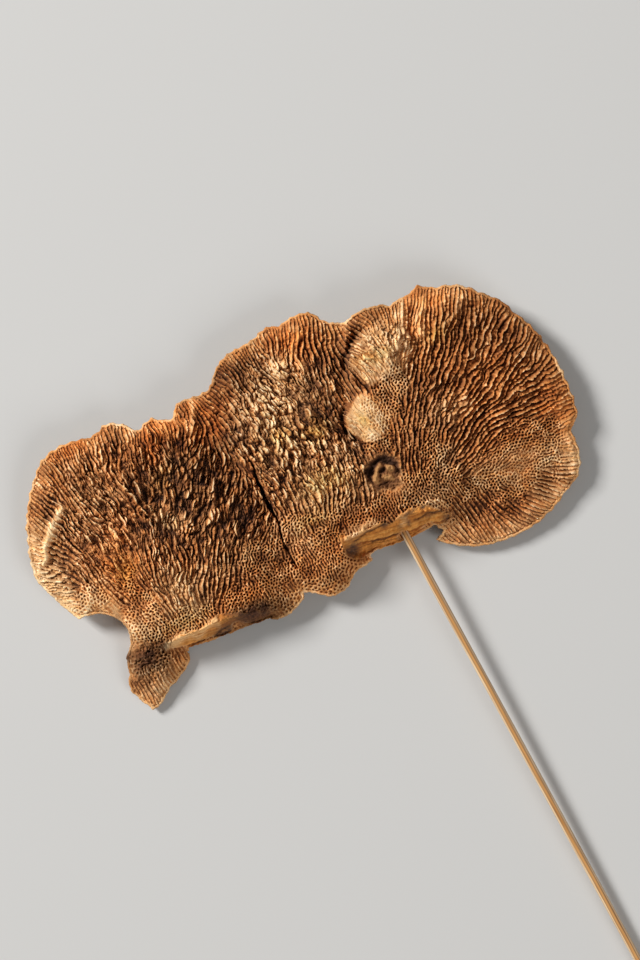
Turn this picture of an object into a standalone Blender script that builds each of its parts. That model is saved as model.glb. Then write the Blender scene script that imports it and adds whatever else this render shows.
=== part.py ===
"""A dried bracket fungus on a thin wooden stick, lying on its caps with the gills up.

Working frame, in millimetres: +X runs along the line where the fungus grew on its trunk, +Y from
that line to the wavy margin, +Z up out of the gills. The stick leaves the cut root along -Y.
Everything is shifted at the end, so that the origin is the bottom centre of the whole object.
"""
import math

import bmesh
import bpy
from mathutils import Vector

MM = 0.001

# Each lobe's gill face is a patch stretched between four curves of (x, y, height) points. The
# gills run from the base, near the trunk, to the margin; start and end are the lobe's two sides,
# without the corners that they share with base and margin. Seen from above, the margin is
# listed clockwise. ribs is the number of gill ridges, dome how far the face bulges, floor the
# height the cap lies at, sweep how far the ridges bow sideways: at most so many mm, at which
# share across, and over which width. thin_sides tells whether the start and end sides are thin.
LOBES = {
    "left": {
        "base": [
            (-121, 12, 10), (-114, 6, 10), (-107, 2, 9), (-98, -2, 8), (-88, -4, 7),
            (-78, -5, 7), (-68, -6, 7), (-59, -7, 7), (-50, -4, 9),
        ],
        "margin": [
            (-137, 31, 9), (-140, 38, 8), (-143, 46, 8), (-146, 56, 7), (-145, 62, 8),
            (-144, 67, 8), (-141, 74, 9), (-137, 82, 9), (-132, 89, 10), (-126, 95, 11),
            (-120, 100, 11), (-112, 102, 12), (-103, 101, 12), (-95, 99, 11), (-90, 101, 11),
            (-84, 99, 12), (-80, 95, 12), (-78, 92, 12), (-71, 94, 13), (-65, 90, 13),
            (-57, 89, 12), (-47, 88, 12), (-36, 87, 12),
        ],
        "start": [(-125, 22, 10)],
        "end": [(-45, 20, 15), (-42, 45, 15), (-39, 66, 13)],
        "ribs": 34,
        "dome": 9.0,
        "floor": 0.0,
        "sweep": (0, 0.5, 0.3),
        "thin_sides": (True, False),
    },
    "middle": {
        "base": [
            (-50, -1, 10), (-46, -4, 8), (-40, -9, 7), (-32, -9, 7), (-26, -5, 8),
            (-16, -4, 10), (-5, -3, 13), (5, -2, 15),
        ],
        "margin": [
            (-63, 88, 16), (-58, 94, 15), (-50, 93, 14), (-43, 93, 13), (-38, 98, 13),
            (-30, 102, 13), (-20, 102, 13), (-9, 104, 13), (-5, 102, 13), (1, 103, 13),
            (9, 101, 13), (14, 94, 13), (20, 90, 13),
        ],
        "start": [(-47, 12, 16), (-45, 45, 18), (-47, 60, 18), (-55, 74, 17)],
        "end": [(7, 20, 16), (9, 45, 14), (14, 68, 13)],
        "ribs": 24,
        "dome": 7.5,
        "floor": 0.5,
        "sweep": (0, 0.5, 0.3),
        "thin_sides": (False, False),
    },
    "right": {
        "base": [
            (0, 46, 20), (1, 32, 21), (4, 18, 20), (8, 4, 17), (11, -4, 10),
        ],
        "margin": [
            (20, 90, 18), (26, 91, 18), (35, 90, 17), (41, 87, 16), (45, 88, 16), (49, 87, 16),
            (54, 89, 15), (60, 85, 14), (66, 83, 14), (72, 79, 14), (78, 72, 13), (83, 66, 12),
            (85, 60, 11), (89, 50, 11), (91, 38, 10), (91, 26, 10), (90, 16, 9), (88, 8, 9),
            (83, 5, 9), (82, -3, 8), (80, -9, 7), (76, -14, 7), (68, -18, 6), (58, -22, 6),
            (46, -24, 5), (34, -23, 5), (24, -20, 5), (16, -15, 5), (10, -9, 6),
        ],
        "start": [(5, 58, 20), (10, 70, 20), (15, 81, 19)],
        "end": [(11, -6, 7)],
        "ribs": 39,
        "dome": 4.5,
        "floor": 0.0,
        "sweep": (16, 0.8, 0.17),
        "thin_sides": (False, True),
    },
    "lower": {
        "base": [(-103, 2, 6), (-110, 7, 8), (-116, 12, 9), (-123, 17, 8)],
        "margin": [
            (-105, -4, 3), (-112, -8, 3), (-118, -10, 3), (-124, -14, 3), (-129, -15, 3),
            (-132, -9, 3), (-134, -2, 4), (-131, 4, 4), (-129, 10, 5), (-127, 16, 7),
        ],
        "start": [(-104, -1, 4)],
        "end": [(-125, 17, 7)],
        "ribs": 11,
        "dome": 1.5,
        "floor": 0.5,
        "sweep": (0, 0.5, 0.3),
        "thin_sides": (True, True),
    },
}
ROWS = (0, 0.1, 0.24, 0.4, 0.55, 0.71, 0.87, 1)

EDGE_THICKNESS = 3.0
DOME_SKEW = 0.7  # under 1, the face rises soon after its base and falls slowly to the margin
RIB_HEIGHT = 2.2
RIB_WANDER = 0.9  # the ridges wander sideways by up to this much
PLEAT = 0.4  # the margin stands out by this much at the end of each ridge
RIM_SLOPE = 0.7  # the cap's edge lies this far inside the gill face's
BELLY_START, BELLY_END = 0.2, 0.56  # between these shares of the way out, the cap is flat
LEDGE_STEP = 0.6  # the growth ledges of the cap
WAVE_HEIGHT = 0.9
WAVE_LENGTH = 42.0

# Two small round lobes on the gill face: centre, radii, ribs.
KNOBS = {
    "upper_knob": ((27.5, 71, 19), (13.5, 12, 7.5), 16),
    "lower_knob": ((10, 50, 19), (10, 11.5, 7.5), 14),
}

KNOB_FLATNESS = 0.65

# The flesh behind the two places where the fungus grew on the trunk: centre and radii.
ROOTS = {
    "right_root": ((-2, 8, 10), (26, 14, 9.8)),
    "left_root": ((-87, 6, 8), (27, 12, 7.6)),
}
# The cut faces of the roots: centre, outward direction, half length, half height, turn.
SCARS = {
    "right_scar": ((-2, 3.5, 13.5), (-0.15, -0.81, 0.57), 24, 13),
    "left_scar": ((-87, 1.2, 8.5), (-0.15, -0.87, 0.47), 26, 9),
}
SCAR_DEPTH = 40.0
COLUMN_HEIGHT = 40.0

# The rounded bite between the left lobe and the small one below it: centre and radii.
BITE_CENTRE, BITE_RADII = (-137, 21), (15, 12.5)

# The crack between the left and middle lobes, narrow and pointed at both ends.
CRACK_ENDS = ((-47.3, 7), (-43.8, 47))
CRACK_WIDTH = 2.4
CRACK_FLOOR = 7.0

# The pit round a broken twig stub.
KNOT_CENTRE = (4, 27)
PIT_RADII, PIT_HEIGHT = (7, 7.5, 8), 22.0
STUB_RADII, STUB_HEIGHT = (4, 4.2, 5), 15.5

STICK_DIAMETER = 3.2
STICK_LENGTH = 300.0
STICK_INSERTED = 30.0
STICK_ENTRY = (0, 0, 8.5)
STICK_SIDES = 20
HOLE_GAP = 0.3

FLESH = (0.55, 0.31, 0.13, 1)
WOOD = (0.62, 0.40, 0.20, 1)


def clear_scene():
    for obj in list(bpy.data.objects):
        bpy.data.objects.remove(obj)


def material(name, colour, roughness):
    made = bpy.data.materials.new(name)
    made.use_nodes = True
    shader = made.node_tree.nodes["Principled BSDF"]
    shader.inputs["Base Color"].default_value = colour
    shader.inputs["Roughness"].default_value = roughness
    shader.inputs["Metallic"].default_value = 0
    return made


def collection(name):
    made = bpy.data.collections.new(name)
    bpy.context.scene.collection.children.link(made)
    return made


def smooth_step(low, high, value):
    share = min(max((value - low) / (high - low), 0), 1)
    return share * share * (3 - 2 * share)


def rounded(points, steps=10):
    """An open Catmull-Rom curve through the points."""
    points = [Vector(p) for p in points]
    last = len(points) - 1
    curve = [points[0]]
    for i in range(last):
        a, b, c, d = (points[min(max(i + k, 0), last)] for k in (-1, 0, 1, 2))
        for step in range(1, steps + 1):
            t = step / steps
            curve.append(
                0.5 * (2 * b + (c - a) * t + (2 * a - 5 * b + 4 * c - d) * t**2
                       + (3 * b - a - 3 * c + d) * t**3)
            )
    return curve


def along(points, shares):
    """The points at these shares of the length of the curve through the given points."""
    curve = rounded(points)
    walked = [0.0]
    for a, b in zip(curve, curve[1:]):
        walked.append(walked[-1] + (b - a).length)
    found, i = [], 0
    for share in shares:
        target = share * walked[-1]
        while i < len(curve) - 2 and walked[i + 1] < target:
            i += 1
        step = walked[i + 1] - walked[i]
        found.append(curve[i].lerp(curve[i + 1], (target - walked[i]) / step))
    return found


def wave(x, y):
    """The slow rise and fall of the gill face."""
    turn = math.tau / WAVE_LENGTH
    return WAVE_HEIGHT * math.sin(turn * x + 0.6) * math.cos(0.8 * turn * y)


def patch(lobe, across):
    """The gill face without its ridges: rows of points between the lobe's four curves."""
    base = along(lobe["base"], across)
    margin = along(lobe["margin"], across)
    start = along([lobe["base"][0]] + lobe["start"] + [lobe["margin"][0]], ROWS)
    end = along([lobe["base"][-1]] + lobe["end"] + [lobe["margin"][-1]], ROWS)
    most, centre, width = lobe["sweep"]
    rows = []
    for j, v in enumerate(ROWS):
        row = []
        for i, u in enumerate(across):
            point = base[i].lerp(margin[i], v) + start[j].lerp(end[j], u)
            point -= base[0].lerp(base[-1], u).lerp(margin[0].lerp(margin[-1], u), v)
            out = margin[i] - base[i]
            bow = most * math.exp(-(((u - centre) / width) ** 2)) * 4 * v * (1 - v)
            point += Vector((-out.y, out.x, 0)).normalized() * bow
            point.z += lobe["dome"] * math.sin(math.pi * v**DOME_SKEW) * (1 - abs(2 * u - 1) ** 3)
            row.append(point)
        rows.append(row)
    return rows


def thinness(lobe, u, v):
    """How near the thin edge a point of the cap lies, from 0 on the belly to 1 at the edge."""
    near = max(smooth_step(BELLY_END, 1, v), smooth_step(BELLY_START, 0, v))
    for exposed, side in zip(lobe["thin_sides"], (u, 1 - u)):
        if exposed:
            near = max(near, smooth_step(0.15, 0, side))
    return near


def back_height(lobe, near, j, edge):
    """Height of the cap: flat on the floor, then up to its edge, with a low ledge at each row."""
    side = 1 if j % 2 == 0 else -1
    ledge = side * LEDGE_STEP * 4 * near * (1 - near)
    rise = (edge - EDGE_THICKNESS - lobe["floor"]) * near**1.2
    return lobe["floor"] + max(rise + ledge, 0)


def ridged(point, out, i, u, v):
    """The point of the face, raised on a ridge or sunk in a groove. out points to the margin."""
    side = 1 if i % 2 == 0 else -1
    grown = smooth_step(0, 0.25, v) * (1 - 0.7 * smooth_step(0.85, 1, v))
    lift = side * RIB_HEIGHT / 2 * grown + wave(point.x, point.y) * (1 - v**6)
    wander = RIB_WANDER * math.sin(9 * v + 23 * u) * math.sin(math.pi * v)
    pleat = PLEAT * smooth_step(0.85, 1, v) * side
    inside = smooth_step(0, 0.12, min(u, 1 - u))
    return point + Vector((wander * inside, 0, lift)) + out * pleat * inside


def outward(face, i):
    """The level direction from base to margin in one column."""
    out = face[-1][i] - face[0][i]
    out.z = 0
    return out.normalized()


def add_mesh(name, mesh, group):
    data = bpy.data.meshes.new(name)
    mesh.to_mesh(data)
    mesh.free()
    obj = bpy.data.objects.new(name, data)
    group.objects.link(obj)
    return obj


def add_lobe(name, lobe, group):
    """A grid shaped as the ribbed gill face, then extruded down to the cap."""
    columns, rows = 2 * lobe["ribs"], len(ROWS) - 1
    across = [i / columns for i in range(columns + 1)]
    face = patch(lobe, across)
    mesh = bmesh.new()
    bmesh.ops.create_grid(mesh, x_segments=columns, y_segments=rows, size=0.5)
    place = {}
    for vert in mesh.verts:
        i, j = round((vert.co.x + 0.5) * columns), round((vert.co.y + 0.5) * rows)
        place[vert] = (i, j)
    down = bmesh.ops.extrude_face_region(mesh, geom=mesh.faces[:])["geom"]
    lowered = [item for item in down if isinstance(item, bmesh.types.BMVert)]
    for vert in lowered:
        i, j = round((vert.co.x + 0.5) * columns), round((vert.co.y + 0.5) * rows)
        near = thinness(lobe, across[i], ROWS[j])
        rim = face[0][i].z if ROWS[j] < BELLY_START else face[rows][i].z
        slope = min(RIM_SLOPE, 0.05 * (face[-1][i] - face[0][i]).length)
        point = face[j][i] - outward(face, i) * slope * near * (1 if j > rows / 2 else -1)
        point.z = back_height(lobe, near, j, rim)
        vert.co = point * MM
    for vert, (i, j) in place.items():
        vert.co = ridged(face[j][i], outward(face, i), i, across[i], ROWS[j]) * MM
    bmesh.ops.recalc_face_normals(mesh, faces=mesh.faces[:])
    return add_mesh(name, mesh, group)


def add_ball(name, centre, radii, group, columns=24, rings=12, ribbed=False):
    """A stretched ball. A ribbed one swells and narrows from column to column."""
    mesh = bmesh.new()
    bmesh.ops.create_uvsphere(mesh, u_segments=columns, v_segments=rings, radius=1)
    for vert in mesh.verts:
        flat = math.hypot(vert.co.x, vert.co.y)
        swell = 1
        if ribbed and flat > 1e-4:
            angle = math.atan2(vert.co.y, vert.co.x)
            side = 1 if round(angle / math.tau * columns) % 2 == 0 else -1
            swell += 0.035 * side * smooth_step(0.3, 0.8, flat) + 0.06 * math.sin(3 * angle)
            vert.co.z = math.copysign(abs(vert.co.z) ** KNOB_FLATNESS, vert.co.z)
        vert.co = (Vector(centre) + Vector(a * b * swell for a, b in zip(vert.co, radii))) * MM
    return add_mesh(name, mesh, group)


def add_prism(name, centre, direction, half_length, half_height, depth, group):
    """An elliptic prism that starts at the centre and runs out in the direction."""
    mesh = bmesh.new()
    bmesh.ops.create_cone(
        mesh, cap_ends=True, segments=32, radius1=MM, radius2=MM, depth=depth * MM
    )
    for vert in mesh.verts:
        vert.co.x *= half_length
        vert.co.y *= half_height
        vert.co.z += depth / 2 * MM
    obj = add_mesh(name, mesh, group)
    out = Vector(direction).normalized()
    level = Vector((0, 0, 1)).cross(out).normalized()
    up = out.cross(level)
    turn = obj.matrix_world.to_3x3()
    for column, axis in enumerate((level, up, out)):
        for row in range(3):
            turn[row][column] = axis[row]
    obj.matrix_world = turn.to_4x4()
    obj.location = Vector(centre) * MM
    return obj


def add_upright(name, centre, radii, turn, floor, sides, group):
    """An upright elliptic column from a floor height to above the fungus."""
    mesh = bmesh.new()
    bmesh.ops.create_cone(
        mesh, cap_ends=True, segments=sides, radius1=MM, radius2=MM, depth=COLUMN_HEIGHT * MM
    )
    for vert in mesh.verts:
        vert.co.x *= radii[0]
        vert.co.y *= radii[1]
        vert.co.z += (COLUMN_HEIGHT / 2 + floor) * MM
    obj = add_mesh(name, mesh, group)
    obj.rotation_euler.z = turn
    obj.location = (centre[0] * MM, centre[1] * MM, 0)
    return obj


def stick_ends():
    """The buried end and the far end of the stick, the far one lying on the floor."""
    entry = Vector(STICK_ENTRY)
    out = STICK_LENGTH - STICK_INSERTED
    drop = entry.z - STICK_DIAMETER / 2
    direction = Vector((0, -math.sqrt(out**2 - drop**2), -drop)) / out
    return entry - direction * STICK_INSERTED, entry + direction * out


def add_rod(name, start, end, radius, group):
    """A round bar between two points."""
    mesh = bmesh.new()
    bmesh.ops.create_cone(
        mesh,
        cap_ends=True,
        segments=STICK_SIDES,
        radius1=radius * MM,
        radius2=radius * MM,
        depth=(end - start).length * MM,
    )
    obj = add_mesh(name, mesh, group)
    obj.rotation_euler = (end - start).to_track_quat("Z", "Y").to_euler()
    obj.location = (start + end) / 2 * MM
    return obj


def add_boolean(obj, operation, other):
    modifier = obj.modifiers.new(other.name, "BOOLEAN")
    modifier.operation = operation
    modifier.solver = "EXACT"
    modifier.object = other


def add_fungus(group, grown, cutters):
    """The whole fungus: every lobe, knob and root grown together, then cut, cracked and drilled."""
    fungus = add_lobe("fungus", LOBES["middle"], group)
    parts = [add_lobe(name + "_lobe", LOBES[name], grown) for name in ("left", "right", "lower")]
    parts += [add_ball(name, centre, radii, grown) for name, (centre, radii) in ROOTS.items()]
    for name, (centre, radii, ribs) in KNOBS.items():
        parts.append(add_ball(name, centre, radii, grown, 2 * ribs, 10, ribbed=True))
    for part in parts:
        add_boolean(fungus, "UNION", part)

    cuts = [
        add_prism(name, centre, direction, length, height, SCAR_DEPTH, cutters)
        for name, (centre, direction, length, height) in SCARS.items()
    ]
    cuts.append(add_upright("bite", BITE_CENTRE, BITE_RADII, 0, -1, 24, cutters))
    start, end = (Vector(point) for point in CRACK_ENDS)
    half = (end - start) / 2
    turn = math.atan2(half.y, half.x)
    radii = (half.length, CRACK_WIDTH / 2)
    cuts.append(add_upright("crack", start + half, radii, turn, CRACK_FLOOR, 12, cutters))
    cuts.append(add_ball("pit", (*KNOT_CENTRE, PIT_HEIGHT), PIT_RADII, cutters, 20, 10))
    for cut in cuts:
        add_boolean(fungus, "DIFFERENCE", cut)
    stub = add_ball("stub", (*KNOT_CENTRE, STUB_HEIGHT), STUB_RADII, grown, 16, 8)
    add_boolean(fungus, "UNION", stub)

    start, end = stick_ends()
    inner = start + (start - end).normalized() * HOLE_GAP
    drill = add_rod("stick_drill", inner, end, STICK_DIAMETER / 2 + HOLE_GAP, cutters)
    add_boolean(fungus, "DIFFERENCE", drill)
    fungus.data.materials.append(material("dried_flesh", FLESH, 0.85))
    return fungus


def add_stick(group):
    start, end = stick_ends()
    stick = add_rod("stick", start, end, STICK_DIAMETER / 2, group)
    stick.data.materials.append(material("stick_wood", WOOD, 0.6))
    stick.data.shade_smooth()
    stick.data.set_sharp_from_angle(angle=math.radians(40))
    return stick


def hide_helpers(*groups):
    for group in groups:
        for obj in group.objects:
            obj.hide_render = True
            obj.display_type = "WIRE"


def stand_on_origin(objects, helpers):
    """Moves everything together, so that the origin is the bottom centre of the object's box."""
    bpy.context.view_layer.update()
    graph = bpy.context.evaluated_depsgraph_get()
    corners = [
        obj.evaluated_get(graph).matrix_world @ Vector(corner)
        for obj in objects
        for corner in obj.evaluated_get(graph).bound_box
    ]
    low = Vector(map(min, *corners))
    high = Vector(map(max, *corners))
    centre = Vector(((low.x + high.x) / 2, (low.y + high.y) / 2, low.z))
    for obj in objects + helpers:
        obj.location -= centre


def main():
    clear_scene()
    group = collection("bracket fungus")
    grown = collection("lobes grown into the fungus")
    cutters = collection("cutters")
    fungus = add_fungus(group, grown, cutters)
    stick = add_stick(group)
    hide_helpers(grown, cutters)
    stand_on_origin([fungus, stick], list(grown.objects) + list(cutters.objects))


main()
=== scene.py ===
"""The looks of the dried bracket fungus: a gill face of real torn plates and pores, a zoned cap
under it, the cut roots, the broken twig and the wooden stick, in soft studio light.

Places are in millimetres in the fungus's own frame: +X along the line where it grew on its trunk,
+Y to the wavy margin, the stick entering at the origin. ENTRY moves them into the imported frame.
"""
import math
from functools import cache

import bmesh
import bpy
import numpy as np
from mathutils import Matrix, Vector, kdtree
from mathutils.bvhtree import BVHTree


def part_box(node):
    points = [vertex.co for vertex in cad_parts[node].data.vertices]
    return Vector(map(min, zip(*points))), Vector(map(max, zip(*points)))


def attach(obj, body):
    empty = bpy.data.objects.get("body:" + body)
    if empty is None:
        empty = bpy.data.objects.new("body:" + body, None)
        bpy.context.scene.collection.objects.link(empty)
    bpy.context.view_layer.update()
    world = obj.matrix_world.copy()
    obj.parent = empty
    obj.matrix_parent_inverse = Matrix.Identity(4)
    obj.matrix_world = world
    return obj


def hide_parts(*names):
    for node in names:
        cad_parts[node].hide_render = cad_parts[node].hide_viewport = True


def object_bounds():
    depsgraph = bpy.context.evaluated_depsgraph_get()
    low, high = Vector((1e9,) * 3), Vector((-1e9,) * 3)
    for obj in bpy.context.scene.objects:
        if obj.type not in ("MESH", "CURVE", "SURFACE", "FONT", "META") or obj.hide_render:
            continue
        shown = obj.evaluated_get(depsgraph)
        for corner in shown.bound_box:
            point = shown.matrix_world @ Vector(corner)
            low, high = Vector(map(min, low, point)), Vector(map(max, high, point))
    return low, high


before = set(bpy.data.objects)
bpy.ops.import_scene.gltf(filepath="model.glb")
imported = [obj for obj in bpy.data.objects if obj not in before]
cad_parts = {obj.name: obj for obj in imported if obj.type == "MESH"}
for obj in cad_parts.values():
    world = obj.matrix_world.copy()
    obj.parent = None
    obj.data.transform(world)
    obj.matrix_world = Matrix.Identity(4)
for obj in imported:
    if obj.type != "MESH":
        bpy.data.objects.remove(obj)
cad_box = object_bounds()

MM = 0.001

# The stick is 300 mm long with 30 mm of it in the flesh, so its far end tells where it enters.
STICK_RADIUS = 1.6
STICK_OUT = 269.95
stick_low, stick_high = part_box("stick")
ENTRY = Vector(((stick_low.x + stick_high.x) / 2, stick_low.y + STICK_OUT * MM, 0))

# The window round the fungus that every map covers. Slow forms are mapped in coarse cells.
LEFT, RIGHT, NEAR, FAR = -154.0, 102.0, -32.0, 112.0
COARSE, FINE = 0.5, 0.2
# The meshes' cells.
GILL_CELL, CAP_CELL = 0.232, 1.1

# The gill face's pieces, from the left, and where each ends, so that none grows too large.
STRETCHES = [
    ("gills_left_margin", -104), ("gills_left_lobe", -68), ("gills_by_crack", -33),
    ("gills_middle", 4), ("gills_knobs", 42), ("gills_right_fan", RIGHT),
]

# Bearings of the gills in degrees, counted from +X towards +Y: x, y, bearing.
BEARINGS = [
    (-142, 58, 145), (-140, 45, 150), (-135, 62, 132), (-126, 57, 118), (-118, 68, 107),
    (-112, 57, 97), (-110, 92, 95), (-120, 95, 100), (-131, 86, 112), (-100, 75, 86), (-96, 58, 82),
    (-88, 80, 70), (-80, 60, 62), (-70, 50, 58), (-60, 60, 62), (-76, 86, 76), (-87, 97, 78),
    (-56, 78, 55), (-92, 45, 76), (-84, 30, 60), (-76, 20, 56), (-106, 24, 104), (-98, 18, 94),
    (-70, 35, 62), (-60, 42, 62), (-54, 30, 48), (-118, 40, 106), (-60, 10, 80), (-38, 95, 120),
    (-33, 95, 106), (-28, 91, 96), (-20, 95, 90), (-10, 94, 82), (-5, 90, 74), (5, 80, 79),
    (8, 68, 85), (11, 90, 68), (-45, 84, 103), (-50, 80, 95), (-60, 88, 66), (-30, 74, 96),
    (-20, 75, 102), (-12, 76, 104), (-25, 62, 70), (-36, 60, 78), (-20, 48, 86), (-8, 50, 84),
    (-30, 40, 88), (-40, 48, 96), (-25, 28, 88), (-10, 30, 72), (-5, 68, 80), (26, 87, 118),
    (33, 84, 100), (40, 84, 76), (46, 74, 60), (55, 80, 50), (65, 78, 50), (71, 68, 45),
    (80, 58, 40), (60, 60, 45), (45, 60, 50), (40, 48, 48), (30, 44, 55), (24, 34, 56),
    (50, 50, 40), (72, 54, 38), (60, 44, 18), (80, 40, 22), (86, 48, 34), (75, 34, 14),
    (60, 30, 10), (70, 24, 6), (86, 25, 4), (50, 34, 22), (60, 19, 0), (80, 12, -2), (70, 4, -12),
    (45, 18, 12), (16, -10, 112), (24, -10, 106), (32, -12, 102), (42, -14, 112), (52, -16, 122),
    (64, -12, 135), (76, -6, 150), (-128, -8, 80), (-112, -4, 98), (-122, 6, 85), (20, 76, 124),
    (30, 80, 96), (38, 76, 66), (5, 50, 112), (15, 52, 80),
]
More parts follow.
